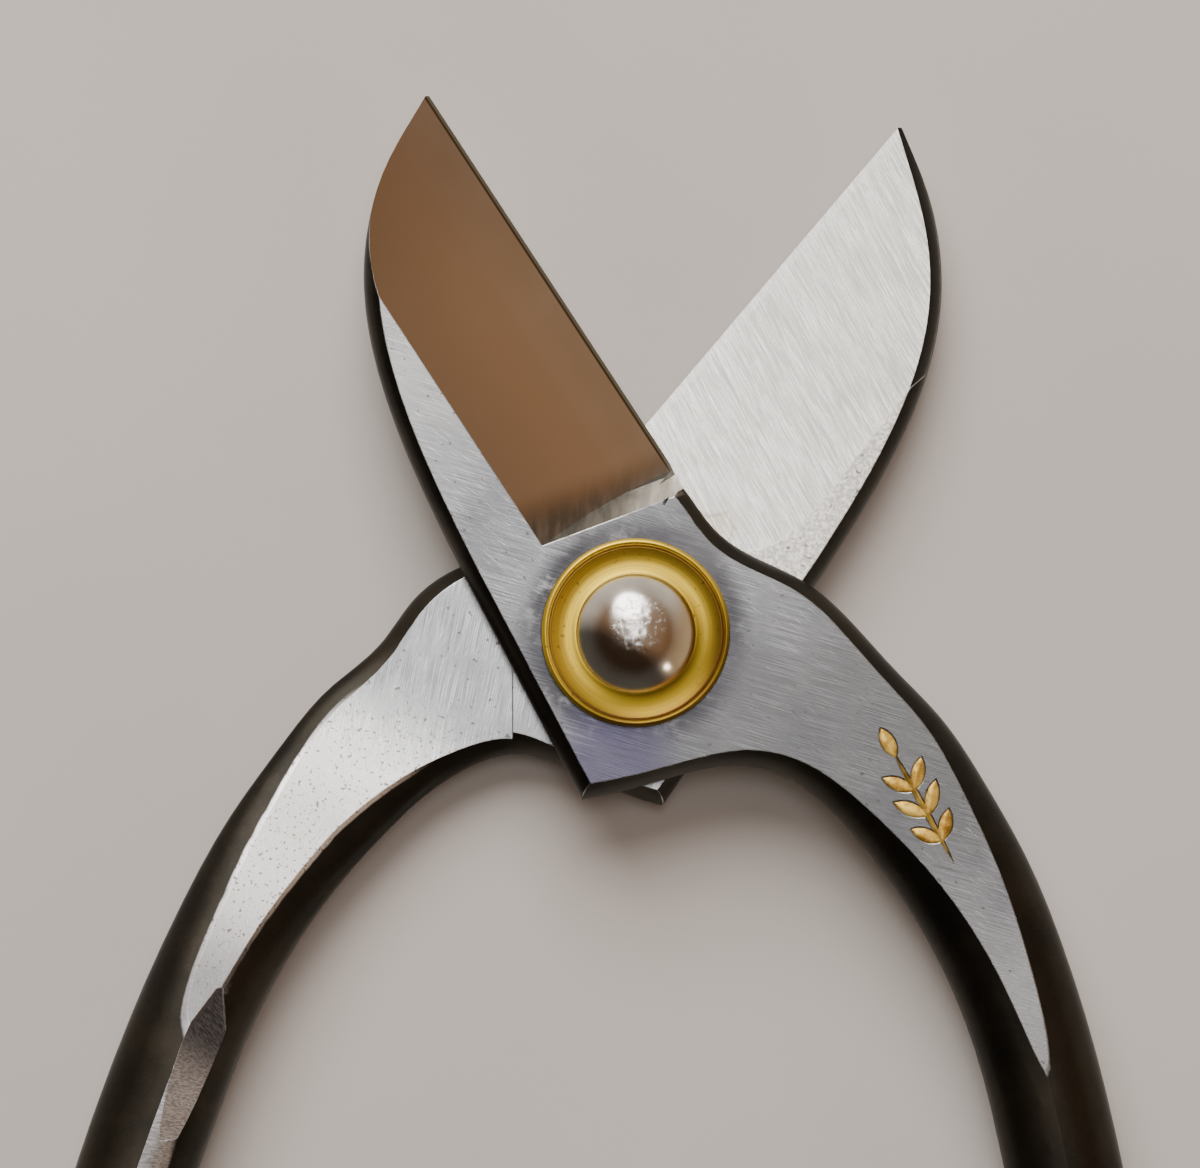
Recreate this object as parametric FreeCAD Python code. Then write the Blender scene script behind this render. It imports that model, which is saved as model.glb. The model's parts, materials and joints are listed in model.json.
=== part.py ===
"""Forged floral snips: two identical arms, each one blade and one looped handle, turning on a rivet.

Both arms are the same forging, one of them turned over. The shape is drawn once, in the closed
position, for the front arm: pivot at the origin, tip on +Y, cutting edge and handle on the +X side.
Finished part: the rivet's tail rests on z = 0, +Z points to the dome of the rivet, +Y to the blades.
"""
import FreeCAD, Part
import math
import os
from FreeCAD import Matrix, Rotation, Vector

# ---- driving dimensions, millimetres and degrees -------------------------------------------------
blade_length = 60.0        # pivot to tip
handle_length = 119.5      # pivot to the handle ends, closed
front_bow = 30.5           # closed centre line to the outside of the front handle
back_bow = 28.0            # the same of the back handle, bent a little closer by hand
arm_thickness = 5.0        # one arm at the pivot
bar_width = 12.2           # handle bar, seen from the front
bar_depth = 9.1            # handle bar, front to back
bar_flank = 0.96           # inner flanks of the bar, 1 for a plain oval
end_round = 5.0            # length of the domed end
open_angle = 48.3          # between the two blades, as it lies

head_reach = 12.4          # pivot to the straight back of the head
heel_drop = 14.1           # pivot down to the heel corner
edge_heel_x = 10.0         # lower end of the cutting edge
edge_heel_y = 15.3
blade_back = 15.4          # pivot line to the widest point of the blade's back

hollow_width = 16.2        # hollow-ground face, square to the edge
hollow_radius = 48.0       # of the grinding wheel
hollow_runout = 3.0        # length of the ramp at the lower end of the hollow
edge_land = 0.3            # thickness left by the hollow at the cutting edge
edge_bevel = 40.0          # small honed bevel on that edge, degrees from the inner face
edge_keen = 0.06           # thickness left by the bevel
steel_thickness = 1.2      # hard steel layer welded on the inner face
steel_margin = 1.7         # soft iron left along the back, beside the steel

boss_reach = 12.5          # pivot to the step beside the bearing land
boss_turn = 27.8           # the step's direction, below the X axis
relief = 0.45              # inner side of the handle, below the bearing land
ramp_start = 19.0          # pivot down to where the inner ground face turns away
ramp_angle = 8.0
ramp_blend = 90.0          # radius at the start of the ramp

pin_diameter = 7.0
head_diameter = 12.4       # dome of the rivet
head_height = 3.3
tail_diameter = 10.0       # riveted-over end
tail_height = 1.5
tail_land = 5.0            # flat at the middle of the tail
washer_diameter = 19.5
washer_thickness = 1.0     # under the dome
washer_lip = 2.0           # height of the rim
rear_washer_diameter = 16.0
rear_washer_thickness = 1.1

running_gap = 0.1          # between the arms
running_radial = 0.05      # pin in the arms
washer_gap = 0.05          # front washer over the front arm
washer_radial = 0.03       # pin in the washers
engrave_depth = 0.25

# ---- levels worked out from them -------------------------------------------------------------------
rear_face = tail_height + rear_washer_thickness
mid = rear_face + arm_thickness + running_gap / 2      # plane between the arms
land_face = mid + running_gap / 2                      # bearing land of the front arm
front_face = land_face + arm_thickness
wall_mid = (land_face + front_face) / 2
wall_round = arm_thickness / 2 + 0.3                   # radius of the barrelled walls
pin_radius = pin_diameter / 2
hole_radius = pin_radius + running_radial
hollow_end = washer_diameter / 2 + 2.1                 # the hollow stops short of the washer

tip = Vector(0, blade_length, 0)
edge_heel = Vector(edge_heel_x, edge_heel_y, 0)
heel_corner = Vector(-(head_reach - 1.3), -heel_drop, 0)
UP = Vector(0, 0, 1)
FAR = 300.0


# ---- small helpers -----------------------------------------------------------------------------------
def curve(points, start=None, end=None):
    """Smooth edge through the points, with end directions where given."""
    spline = Part.BSplineCurve()
    if start and end:
        spline.interpolate(Points=points, InitialTangent=start, FinalTangent=end)
    else:
        spline.interpolate(points)
    return spline.toShape()


def line(a, b):
    return Part.makeLine(a, b)


def prism(edges, low, high):
    """Upright solid on a closed outline, between two levels."""
    face = Part.Face(Part.Wire(edges))
    face.translate(Vector(0, 0, low))
    return face.extrude(Vector(0, 0, high - low))


def polygon(points, low, high):
    return prism(Part.makePolygon(points + points[:1]).Edges, low, high)


def cylinder(radius, low, high):
    return Part.makeCylinder(radius, high - low, Vector(0, 0, low))


def turned(profile):
    """Solid of revolution about the pivot from (radius, level) edges."""
    return Part.Face(Part.Wire(profile)).revolve(Vector(), UP, 360)


def at(radius, level):
    return Vector(radius, 0, level)


def arc(a, b, c):
    return Part.Arc(a, b, c).toShape()


# ---- the handle bar --------------------------------------------------------------------------------
def ramp_level(drop):
    """Level of the ground inner face of the handle, this far below the pivot."""
    turn = math.radians(ramp_angle)
    run = max(drop - ramp_start, 0.0)
    bend = ramp_blend * math.sin(turn)
    level = land_face + relief
    if run < bend:
        return level - (ramp_blend - math.sqrt(ramp_blend ** 2 - run ** 2))
    return level - ramp_blend * (1 - math.cos(turn)) - (run - bend) * math.tan(turn)


def inner_level(spot):
    """Level of the inner face of the head: the bearing land, or the relieved face beside it."""
    way = Rotation(UP, -boss_turn).multVec(Vector(1, 0, 0))
    beside = spot.dot(way) > boss_reach - 2.0
    return land_face + (relief if beside else 0.0)


def depth_for(inset, half_width, height):
    """Half depth of an oval whose flat, cut this high, stays this far inside the outline."""
    share = 1 - min(inset / half_width, 1.0)
    return height / math.sqrt(1 - share ** 2)


def bar_stations(handle_bow):
    """(centre, chord angle, half width, level, front half depth, inner half depth, flank) along the bar.

    The first rows belong to the head and keep its sizes. The others follow the bow of the handle
    as shares of its bow, its length and the bar's half width. Insets say how far the front and
    the inner ground flats stay inside the outline: where they end, the bar is a full oval.
    """
    head = [
        (-7.0, 0.65, 36.4, 20.8, 1.5, 1.3),
        (-2.85, -2.4, 36.5, 17.7, 1.5, 1.3),
        (1.66, -5.45, 34.5, 15.45, 1.5, 1.3),
        (8.45, -8.58, 32.0, 12.6, 1.5, 1.2),
        (13.05, -11.75, 26.5, 9.9, 1.65, 1.5),
    ]
    ground = [
        (0.545, 0.133, 22.0, 1.33, 0.86, 1.75, 1.7),
        (0.650, 0.183, 17.5, 1.235, 0.76, 2.1, 2.2),
        (0.717, 0.239, 12.0, 1.165, 0.63, 2.75, 2.9),
        (0.770, 0.303, 4.8, 1.10, 0.49, 3.5, 3.5),
        (0.797, 0.388, -0.5, 1.02, 0.35, 4.3, 4.0),
        (0.783, 0.477, -4.5, 0.99, 0.20, 5.7, 6.2),
    ]
    oval = [
        (0.743, 0.5565, -8.5, 1.00, 0.08, 1.0, 0.0),
        (0.662, 0.674, -13.5, 0.97, 0.0, 1.0, 0.2),
        (0.534, 0.782, -21.0, 0.92, 0.0, 0.98, 0.5),
        (0.374, 0.879, -33.0, 0.855, 0.0, 0.95, 0.8),
        (0.167, 0.963, -50.0, 0.76, 0.0, 0.90, 1.0),
    ]
    rows = []
    for x, y, angle, wide, front, inner in head:
        centre = Vector(x, y, 0)
        upper = depth_for(front, wide, front_face - wall_mid)
        lower = depth_for(inner, wide, wall_mid - inner_level(centre))
        rows.append((centre, angle, wide, wall_mid, upper, lower, bar_flank))
    for bow, drop, angle, share, lift, front, inner in ground:
        wide = share * bar_width / 2
        level = mid + lift * (wall_mid - mid)
        upper = depth_for(front, wide, front_face - level)
        lower = depth_for(inner, wide, level - ramp_level(drop * handle_length))
        centre = Vector(bow * handle_bow, -drop * handle_length, 0)
        rows.append((centre, angle, wide, level, upper, lower, bar_flank))
    for bow, drop, angle, share, lift, deep, fade in oval:
        wide = share * bar_width / 2
        level = mid + lift * (wall_mid - mid)
        half = deep * bar_depth / 2
        flank = bar_flank + (1 - bar_flank) * fade
        centre = Vector(bow * handle_bow, -drop * handle_length, 0)
        rows.append((centre, angle, wide, level, half, half, flank))
    return rows


def bar_section(centre, angle, wide, level, upper, lower, flank):
    """Closed section of the bar: four quarter ovals, the two on the inner side hammered flatter."""
    across = Rotation(UP, angle).multVec(Vector(1, 0, 0))
    along = UP.cross(across)
    right, left = Vector(1, 0, 0), Vector(-1, 0, 0)
    slant = math.sqrt(0.5)
    quarters = [
        (arc(right, Vector(slant, 0, slant), UP), upper),
        (arc(UP, Vector(-slant * flank, 0, slant * flank), left), upper),
        (arc(left, Vector(-slant * flank, 0, -slant * flank), -UP), lower),
        (arc(-UP, Vector(slant, 0, -slant), right), lower),
    ]
    edges = []
    for quarter, deep in quarters:
        stretch = Matrix(
            across.x * wide, along.x, 0, centre.x,
            across.y * wide, along.y, 0, centre.y,
            0, 0, deep, level,
            0, 0, 0, 1,
        )
        edges.append(quarter.transformGeometry(stretch))
    return Part.Wire(edges)


def rounded_end(centre, angle, wide, level, upper, lower, flank):
    """Sections that close the end of the bar like a dome."""
    onward = Rotation(UP, angle).multVec(Vector(0, -1, 0))
    rows = []
    for degrees in (28, 50, 68, 82):
        turn = math.radians(degrees)
        scale = math.cos(turn)
        spot = centre + onward * (end_round * math.sin(turn))
        rows.append((spot, angle, wide * scale, level, upper * scale, lower * scale, flank))
    return rows


def handle_bar(handle_bow):
    rows = bar_stations(handle_bow)
    rows += rounded_end(*rows[-1])
    return Part.makeLoft([bar_section(*row) for row in rows], True, False, False, 5)


def runout_facet(handle_bow):
    """Small facet where the grinding belt left the inner side of the bar, past the ground flat."""
    bow, drop, lift = 0.770, 0.508, 0.14
    inward = 1.75
    depth = 0.35
    middle = Vector(bow * handle_bow - inward, -drop * handle_length, 0)
    half = bar_depth / 2
    middle.z = mid + lift * (wall_mid - mid) - half * math.sqrt(1 - (2 * inward / bar_width) ** 2)
    outward = Vector(-0.30, 0.09, -1).normalize()
    block = Part.makeBox(8, 15, 4, Vector(-4, -7.5, 0))
    block.Placement = FreeCAD.Placement(middle - outward * depth, Rotation(UP, outward)) * block.Placement
    return block


# ---- blade and head ----------------------------------------------------------------------------------
def back_curve():
    """Back of the blade, from the heel corner up to the tip."""
    heel_line = Vector(-3.1, 25.0, 0)
    shoulder = Vector(-(head_reach + 1.85), 10.9, 0)
    k = blade_length / 60.0
    tip_way = Vector(8.7, 9.2, 0)
    past_tip = tip + Vector(-0.9, 1.1, 0)
    rounded = curve(
        [
            shoulder,
            Vector(-blade_back + 0.15, 21.0 * k, 0),
            Vector(-blade_back - 0.1, 32.0 * k, 0),
            Vector(-blade_back + 1.9, 43.8 * k, 0),
            Vector(-9.0, 52.3 * k, 0),
            past_tip,
        ],
        heel_line,
        tip_way,
    )
    return heel_line, shoulder, rounded, past_tip, tip_way


def back_solid():
    """Everything in front of the barrelled back of the blade and head."""
    heel_line, shoulder, rounded, past_tip, tip_way = back_curve()
    below = heel_corner - heel_line
    beyond = past_tip + tip_way * 1.5
    right = Vector(FAR, beyond.y, 0)
    corner = Vector(FAR, below.y, 0)
    outline = [
        line(below, shoulder),
        rounded,
        line(past_tip, beyond),
        line(beyond, right),
        line(right, corner),
        line(corner, below),
    ]
    half = wall_round + 0.05
    solid = prism(outline, wall_mid - half, wall_mid + half)
    rims = []
    for edge in solid.Edges:
        box = edge.BoundBox
        flat = box.ZLength < 1e-6
        if flat and box.XMax < FAR / 2:
            rims.append(edge)
    solid = solid.makeFillet(wall_round, rims)
    lower = Part.makeBox(2 * FAR, FAR, FAR, Vector(-FAR, -heel_drop - 4.0 - FAR, mid - FAR / 2))
    return solid.fuse(lower)


def blade_block():
    """Blade and upper head, square-edged, up to the cutting edge."""
    edge_way = (tip - edge_heel).normalize()
    points = [
        tip + edge_way * 20,
        edge_heel,
        Vector(edge_heel.x + 0.1, edge_heel.y - 1.6, 0),
        Vector(edge_heel.x - 0.05, edge_heel.y - 3.0, 0),
        Vector(edge_heel.x - 2.4, hollow_end, 0),
        Vector(4.0, -2.0, 0),
        Vector(-40, -18, 0),
        Vector(-40, blade_length + 20, 0),
    ]
    return polygon(points, land_face, front_face)


def hollow_cutter():
    """Grinding wheel's cut: a groove along the edge, run out at its lower end."""
    edge_way = (tip - edge_heel).normalize()
    inward = UP.cross(edge_way)
    low = edge_heel + UP * (land_face + edge_land)
    high = edge_heel + inward * hollow_width + UP * front_face
    chord = high - low
    half = chord.Length / 2
    normal = edge_way.cross(chord).normalize()
    if normal.z < 0:
        normal = normal * -1
    centre = low + chord * 0.5 + normal * math.sqrt(hollow_radius ** 2 - half ** 2)
    start = centre - edge_way * FAR / 3
    groove = Part.makeCylinder(hollow_radius, FAR, start, edge_way)
    ramp = math.degrees(math.atan2(arm_thickness, hollow_runout))
    stop = Part.makeBox(FAR, FAR, FAR, Vector(-FAR / 2, -FAR / 2, 0))
    stop.rotate(Vector(), Vector(1, 0, 0), -ramp)
    stop.translate(Vector(0, hollow_end, front_face))
    return groove.common(stop)


def bevel_cutter():
    """Honed bevel along the cutting edge."""
    edge_way = (tip - edge_heel).normalize()
    inward = UP.cross(edge_way)
    slope = math.radians(edge_bevel)
    start = edge_heel - edge_way * 1.2 + UP * (land_face + edge_keen)
    rise = (inward * math.cos(slope) + UP * math.sin(slope)) * 4
    outside = start - inward * 4
    corners = [start, start + rise, outside + UP * rise.z, outside]
    face = Part.Face(Part.makePolygon(corners + [start]))
    return face.extrude(edge_way * FAR)


def inner_relief():
    """What is ground off the inner side of the handle: a step beside the land, then a ramp."""
    level = land_face + relief
    turn = math.radians(ramp_angle)
    start = at(ramp_start, level)
    blend = at(ramp_start + ramp_blend * math.sin(turn), level - ramp_blend * (1 - math.cos(turn)))
    half = at(
        ramp_start + ramp_blend * math.sin(turn / 2),
        level - ramp_blend * (1 - math.cos(turn / 2)),
    )
    far = blend + Vector(math.cos(turn), 0, -math.sin(turn)) * FAR
    below = Vector(far.x, 0, -FAR)
    origin = Vector(-40, 0, -FAR)
    top = Vector(-40, 0, level)
    profile = [
        line(origin, top),
        line(top, start),
        arc(start, half, blend),
        line(blend, far),
        line(far, below),
        line(below, origin),
    ]
    slab = Part.Face(Part.Wire(profile)).extrude(Vector(0, FAR, 0))
    slab.translate(Vector(0, -FAR / 2, 0))
    slab.rotate(Vector(), UP, -90)
    return slab


def boss_side():
    """Half space beyond the step, and below the head."""
    box = Part.makeBox(FAR, FAR, 2 * FAR, Vector(boss_reach, -FAR / 2, -FAR))
    box.rotate(Vector(), UP, -boss_turn)
    return box


def whole_arm(bow):
    """One forging, closed position, front arm: iron and steel together."""
    back = back_solid()
    body = handle_bar(bow).common(back).fuse(blade_block().common(back))
    top = Part.makeBox(2 * FAR, 2 * FAR, FAR, Vector(-FAR, -FAR, front_face))
    body = body.cut(top)
    body = body.cut(inner_relief().common(boss_side()))
    land = Part.makeBox(2 * FAR, 2 * FAR, FAR, Vector(-FAR, -FAR, land_face - FAR))
    body = body.cut(land.cut(boss_side()))
    body = body.cut(hollow_cutter())
    body = body.cut(bevel_cutter())
    body = body.cut(runout_facet(bow))
    return body.cut(cylinder(hole_radius, 0, FAR)).Solids[0]


def steel_region():
    """Where the hard steel layer lies, on the inner face of the blade."""
    k = blade_length / 60.0
    first = Vector(-4.5, hollow_end + 1.0, 0)
    last = Vector(-blade_back + steel_margin, 36.4 * k, 0)
    border = curve(
        [first, Vector(-9.0, 16.0, 0), Vector(-blade_back + 3.4, 26.8 * k, 0), last],
        Vector(-4.5, 0.6, 0),
        Vector(-1.6, 9.0, 0),
    )
    corners = [
        last,
        last + Vector(-8, 20, 0),
        tip + Vector(-20, 20, 0),
        tip + Vector(30, 20, 0),
        Vector(30, first.y, 0),
        first,
    ]
    outline = [border] + [line(a, b) for a, b in zip(corners, corners[1:])]
    return prism(outline, land_face - 1.0, land_face + steel_thickness)


# ---- the engraved sprig --------------------------------------------------------------------------------
def leaf(length, width):
    """Flat pointed leaf from the origin along +Y."""
    base = Vector()
    point = Vector(0, length, 0)
    sides = [
        arc(base, Vector(width / 2, length / 2, 0), point),
        arc(point, Vector(-width / 2, length / 2, 0), base),
    ]
    return prism(sides, front_face - engrave_depth, front_face + 1.0)


def placed(shape, spot, angle):
    shape.rotate(Vector(), UP, angle)
    shape.translate(spot)
    return shape


def sprig_cutters():
    """A plain sprig along the front handle: a thin stem, three pairs of leaves and a leaf at the top."""
    stem = 13.5
    foot = Vector(22.6, -34.0, 0)
    lean = 8.0
    spread = 40.0
    way = Rotation(UP, lean).multVec(Vector(0, 1, 0))
    cutters = [placed(leaf(stem, 0.7), foot, lean)]
    for step, size in ((2.6, 3.6), (5.6, 4.0), (8.6, 3.7)):
        for side in (-spread, spread):
            cutters.append(placed(leaf(size, 1.5), foot + way * step, lean + side))
    cutters.append(placed(leaf(3.6, 1.6), foot + way * (stem - 1.0), lean))
    return cutters


# ---- rivet and washers ---------------------------------------------------------------------------------
def rivet():
    """One piece: dome over the front washer, pin, and the riveted-over tail with its resting flat."""
    seat = front_face + washer_gap + washer_thickness
    head = head_diameter / 2
    brim = seat + 0.35
    top = seat + head_height
    cap = top - brim
    cap_radius = (head ** 2 + cap ** 2) / (2 * cap)
    middle = math.asin(head / cap_radius) / 2
    shoulder = at(cap_radius * math.sin(middle), top - cap_radius * (1 - math.cos(middle)))
    tail = tail_diameter / 2
    land = tail_land / 2
    profile = [
        line(at(0, 0), at(land, 0)),
        arc(at(land, 0), at((tail + land) / 2 + 0.35, tail_height * 0.33), at(tail, tail_height)),
        line(at(tail, tail_height), at(pin_radius, tail_height)),
        line(at(pin_radius, tail_height), at(pin_radius, seat)),
        line(at(pin_radius, seat), at(head, seat)),
        line(at(head, seat), at(head, brim)),
        arc(at(head, brim), shoulder, at(0, top)),
        line(at(0, top), at(0, 0)),
    ]
    return turned(profile)


def front_washer():
    """Dished brass washer: flat seat for the dome, hollow dish, groove and a rounded rim."""
    base = front_face + washer_gap
    bore = pin_radius + washer_radial
    outer = washer_diameter / 2
    seat = base + washer_thickness
    dish = head_diameter / 2 + 0.1
    groove = outer - 0.75
    lip = base + washer_lip
    profile = [
        line(at(bore, base), at(outer - 0.35, base)),
        line(at(outer - 0.35, base), at(outer, base + 0.35)),
        line(at(outer, base + 0.35), at(outer, lip - 0.3)),
        arc(at(outer, lip - 0.3), at(outer - 0.3, lip), at(outer - 0.6, lip - 0.3)),
        line(at(outer - 0.6, lip - 0.3), at(groove, lip - 0.42)),
        arc(at(groove, lip - 0.42), at((groove + dish) / 2 + 0.2, seat + 0.22), at(dish, seat)),
        line(at(dish, seat), at(bore, seat)),
        line(at(bore, seat), at(bore, base)),
    ]
    return turned(profile)


def rear_washer():
    bore = pin_radius + washer_radial
    outer = rear_washer_diameter / 2
    bevel = 0.35
    profile = [
        line(at(bore, tail_height), at(outer - bevel, tail_height)),
        line(at(outer - bevel, tail_height), at(outer, tail_height + bevel)),
        line(at(outer, tail_height + bevel), at(outer, rear_face)),
        line(at(outer, rear_face), at(bore, rear_face)),
        line(at(bore, rear_face), at(bore, tail_height)),
    ]
    return turned(profile)


# ---- the finished set ----------------------------------------------------------------------------------
def front_pose(shape):
    placed_shape = shape.copy()
    placed_shape.rotate(Vector(), UP, open_angle / 2)
    return placed_shape


def back_pose(shape):
    """The same forging turned over about the Y axis, opened the other way."""
    placed_shape = shape.copy()
    placed_shape.rotate(Vector(0, 0, mid), Vector(0, 1, 0), 180)
    placed_shape.rotate(Vector(), UP, -open_angle / 2)
    return placed_shape


def split_arm(bow):
    arm = whole_arm(bow)
    region = steel_region()
    return arm.cut(region), arm.common(region)


def build():
    front_iron, front_steel = split_arm(front_bow)
    for cutter in sprig_cutters():
        front_iron = front_iron.cut(cutter)
    back_iron, back_steel = split_arm(back_bow)
    return {
        "front_arm": front_pose(front_iron),
        "front_edge_steel": front_pose(front_steel),
        "back_arm": back_pose(back_iron),
        "back_edge_steel": back_pose(back_steel),
        "rivet": rivet(),
        "front_washer": front_washer(),
        "rear_washer": rear_washer(),
    }


def main():
    os.makedirs("parts", exist_ok=True)
    for name, shape in build().items():
        solids = shape.Solids
        print(name, "solids", len(solids), "valid", shape.isValid(), "volume", round(shape.Volume, 1))
        solids[0].exportStep(f"parts/{name}.step")


main()
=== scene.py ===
# %% [markdown]
# # Forged floral snips
#
# Two forged arms cross on a rivet. Each arm is black from the forge scale, except where a grinder has
# made it flat and bright. A spun brass washer and a polished dome dress the front of the pivot.
#
# The arms' shapes are right already in the frame, so this lesson spends its time on their finishes, and
# models anew only what the lathe, the hammer and the paint brush made: front washer, rivet, gold paint.

# %% Load the fixed frame
import json
import math

import bmesh
import bpy
from mathutils import Matrix, Vector, noise


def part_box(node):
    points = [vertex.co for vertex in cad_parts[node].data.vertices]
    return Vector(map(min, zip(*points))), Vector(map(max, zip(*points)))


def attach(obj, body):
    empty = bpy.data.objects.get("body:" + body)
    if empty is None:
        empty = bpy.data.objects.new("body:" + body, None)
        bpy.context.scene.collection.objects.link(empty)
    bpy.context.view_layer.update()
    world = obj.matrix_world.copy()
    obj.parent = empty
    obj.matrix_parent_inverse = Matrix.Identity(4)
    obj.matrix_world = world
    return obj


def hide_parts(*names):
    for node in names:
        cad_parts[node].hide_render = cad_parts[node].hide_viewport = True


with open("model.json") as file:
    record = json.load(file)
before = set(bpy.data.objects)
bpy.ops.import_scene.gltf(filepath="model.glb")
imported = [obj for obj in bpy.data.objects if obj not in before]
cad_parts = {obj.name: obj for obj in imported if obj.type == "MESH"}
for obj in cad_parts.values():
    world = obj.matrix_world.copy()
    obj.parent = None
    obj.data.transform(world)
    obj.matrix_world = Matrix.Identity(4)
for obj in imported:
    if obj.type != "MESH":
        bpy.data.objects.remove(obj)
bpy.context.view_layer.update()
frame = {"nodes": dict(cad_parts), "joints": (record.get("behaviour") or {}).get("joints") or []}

MM = 0.001
nodes = frame["nodes"]
print("nodes:", ", ".join(sorted(nodes)))

# %% [markdown]
# ## Levels and angles
#
# Everything is measured from the frame, so that a finish stays on its surface. The joint face is the
# plane between the arms. The pivot is the Z axis. Closed, each arm's blade points along +Y, and the arms
# lie half of the opening angle to either side of that.

# %% Levels and angles, read from the frame
front_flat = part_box("front_arm")[1].z
bearing_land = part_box("front_edge_steel")[0].z
joint_face = (bearing_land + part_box("back_edge_steel")[1].z) / 2
half_open = math.radians(-frame["joints"][0]["range_deg"][0]) / 2
washer_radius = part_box("front_washer")[1].x
washer_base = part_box("front_washer")[0].z
washer_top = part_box("front_washer")[1].z
dome_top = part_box("rivet")[1].z
print(f"front flat {front_flat / MM:.2f} mm, joint face {joint_face / MM:.2f} mm")
print(f"half opening {math.degrees(half_open):.2f} degrees")

# %% [markdown]
# ## The camera
#
# The snips lie flat and are seen from almost straight above, a hand's width of them filling the frame.
# A long lens at almost a metre keeps the walls of the arms as narrow as they look to the eye. The camera
# leans a few degrees, so the lower and left walls show a little more than the others.

# %% Camera
VIEW_WIDTH = 124.3 * MM
CAMERA_DISTANCE = 900 * MM
CAMERA_LEAN = math.radians(4.0)
CAMERA_LEAN_TO = math.radians(225)
CAMERA_ROLL = math.radians(3.55)
AIM = Vector((-3.95 * MM, 4.86 * MM, front_flat))

camera_data = bpy.data.cameras.new("camera")
camera_data.sensor_width = 36.0
camera_data.lens = camera_data.sensor_width * CAMERA_DISTANCE / VIEW_WIDTH
camera_data.clip_start = 0.01
camera_data.clip_end = 20.0
camera = bpy.data.objects.new("camera", camera_data)
bpy.context.scene.collection.objects.link(camera)
lean_axis = Vector((-math.sin(CAMERA_LEAN_TO), math.cos(CAMERA_LEAN_TO), 0))
stand = Matrix.Rotation(CAMERA_LEAN, 4, lean_axis) @ Matrix.Rotation(CAMERA_ROLL, 4, "Z")
camera.matrix_world = Matrix.Translation(AIM) @ stand @ Matrix.Translation((0, 0, CAMERA_DISTANCE))
bpy.context.scene.camera = camera
print(f"lens {camera_data.lens:.0f} mm at {CAMERA_DISTANCE:.2f} m")

# %% [markdown]
# ## A short hand for materials
#
# A finish is a small network of nodes around one Principled shader. Written out in full, each node takes
# three or four lines, so this class gives the ones used here short names. It makes nothing by itself.


# %% Finish: one material in the making
class Finish:
    """One metal finish: a Principled shader and the nodes that feed it."""

    def __init__(self, name):
        self.material = bpy.data.materials.new(name)
        self.material.use_nodes = True
        self.tree = self.material.node_tree
        self.shader = self.tree.nodes["Principled BSDF"]
        self.set("Metallic", 1.0)
        self.where = self.add("TexCoord")
        self.place = self.where.outputs["Object"]

    def feed(self, socket, value):
        if isinstance(value, bpy.types.NodeSocket):
            self.tree.links.new(value, socket)
        elif value is not None:
            socket.default_value = value

    def set(self, name, value):
        self.feed(self.shader.inputs[name], value)

    def add(self, kind, *values, **settings):
        node = self.tree.nodes.new("ShaderNode" + kind)
        for key, value in settings.items():
            setattr(node, key, value)
        for socket, value in zip(node.inputs, values):
            self.feed(socket, value)
        return node

    def math(self, operation, *values):
        return self.add("Math", *values, operation=operation).outputs[0]

    def times(self, *values):
        product = values[0]
        for value in values[1:]:
            product = self.math("MULTIPLY", product, value)
        return product

    def plus(self, a, b):
        return self.math("ADD", a, b)

    def distance(self, x, y):
        return self.math("SQRT", self.plus(self.times(x, x), self.times(y, y)))

    def fade(self, value, low, high):
        """0 at low, 1 at high, smooth between them. High may be under low."""
        node = self.add("MapRange", value, low, high, 0.0, 1.0, interpolation_type="SMOOTHSTEP")
        return node.outputs[0]

    def between(self, value, low, high, edge):
        """1 inside a band, 0 outside it."""
        rise = self.fade(value, low - edge, low + edge)
        return self.times(rise, self.fade(value, high + edge, high - edge))

    def mix(self, share, a, b):
        node = self.add("Mix", share, data_type="RGBA")
        self.feed(node.inputs[6], opaque(a))
        self.feed(node.inputs[7], opaque(b))
        return node.outputs[2]

    def mix_value(self, share, a, b):
        node = self.add("Mix", share, data_type="FLOAT")
        self.feed(node.inputs[2], a)
        self.feed(node.inputs[3], b)
        return node.outputs[0]

    def split(self, vector):
        return self.add("SeparateXYZ", vector).outputs

    def join(self, x, y, z):
        return self.add("CombineXYZ", x, y, z).outputs[0]

    def turn(self, vector, angle):
        node = self.add("VectorRotate", vector, rotation_type="Z_AXIS")
        node.inputs["Angle"].default_value = angle
        return node.outputs[0]

    def stretch(self, vector, x, y, z):
        return self.add("VectorMath", vector, (x, y, z), operation="MULTIPLY").outputs[0]

    def noise(self, vector, scale, detail=2.0, roughness=0.5, bend=0.0):
        node = self.add("TexNoise", vector)
        node.inputs["Scale"].default_value = scale
        node.inputs["Detail"].default_value = detail
        node.inputs["Roughness"].default_value = roughness
        node.inputs["Distortion"].default_value = bend
        return node.outputs[0]

    def bump(self, height, distance, strength=1.0, over=None):
        node = self.add("Bump")
        self.feed(node.inputs["Normal"], over)
        node.inputs["Strength"].default_value = strength
        node.inputs["Distance"].default_value = distance
        self.feed(node.inputs["Height"], height)
        self.set("Normal", node.outputs[0])

    def wear(self, piece):
        piece.data.materials.clear()
        piece.data.materials.append(self.material)


def opaque(colour):
    """Colour with its alpha, where it is a plain triple."""
    if isinstance(colour, tuple) and len(colour) == 3:
        return (*colour, 1.0)
    return colour


# %% [markdown]
# ## Marks that several finishes share
#
# Ground steel is covered in fine parallel scratches, all running the way the work met the wheel. A
# stretched noise gives them: long along the stroke, very short across it. Two of them at slightly
# different angles look like real grinding, where one looks like corduroy.
#
# Every hard corner of a forged tool is rubbed bright. The Bevel node sees such a corner from both of its
# sides, so comparing its normal with the surface's own one marks the last tenth of a millimetre.


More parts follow.
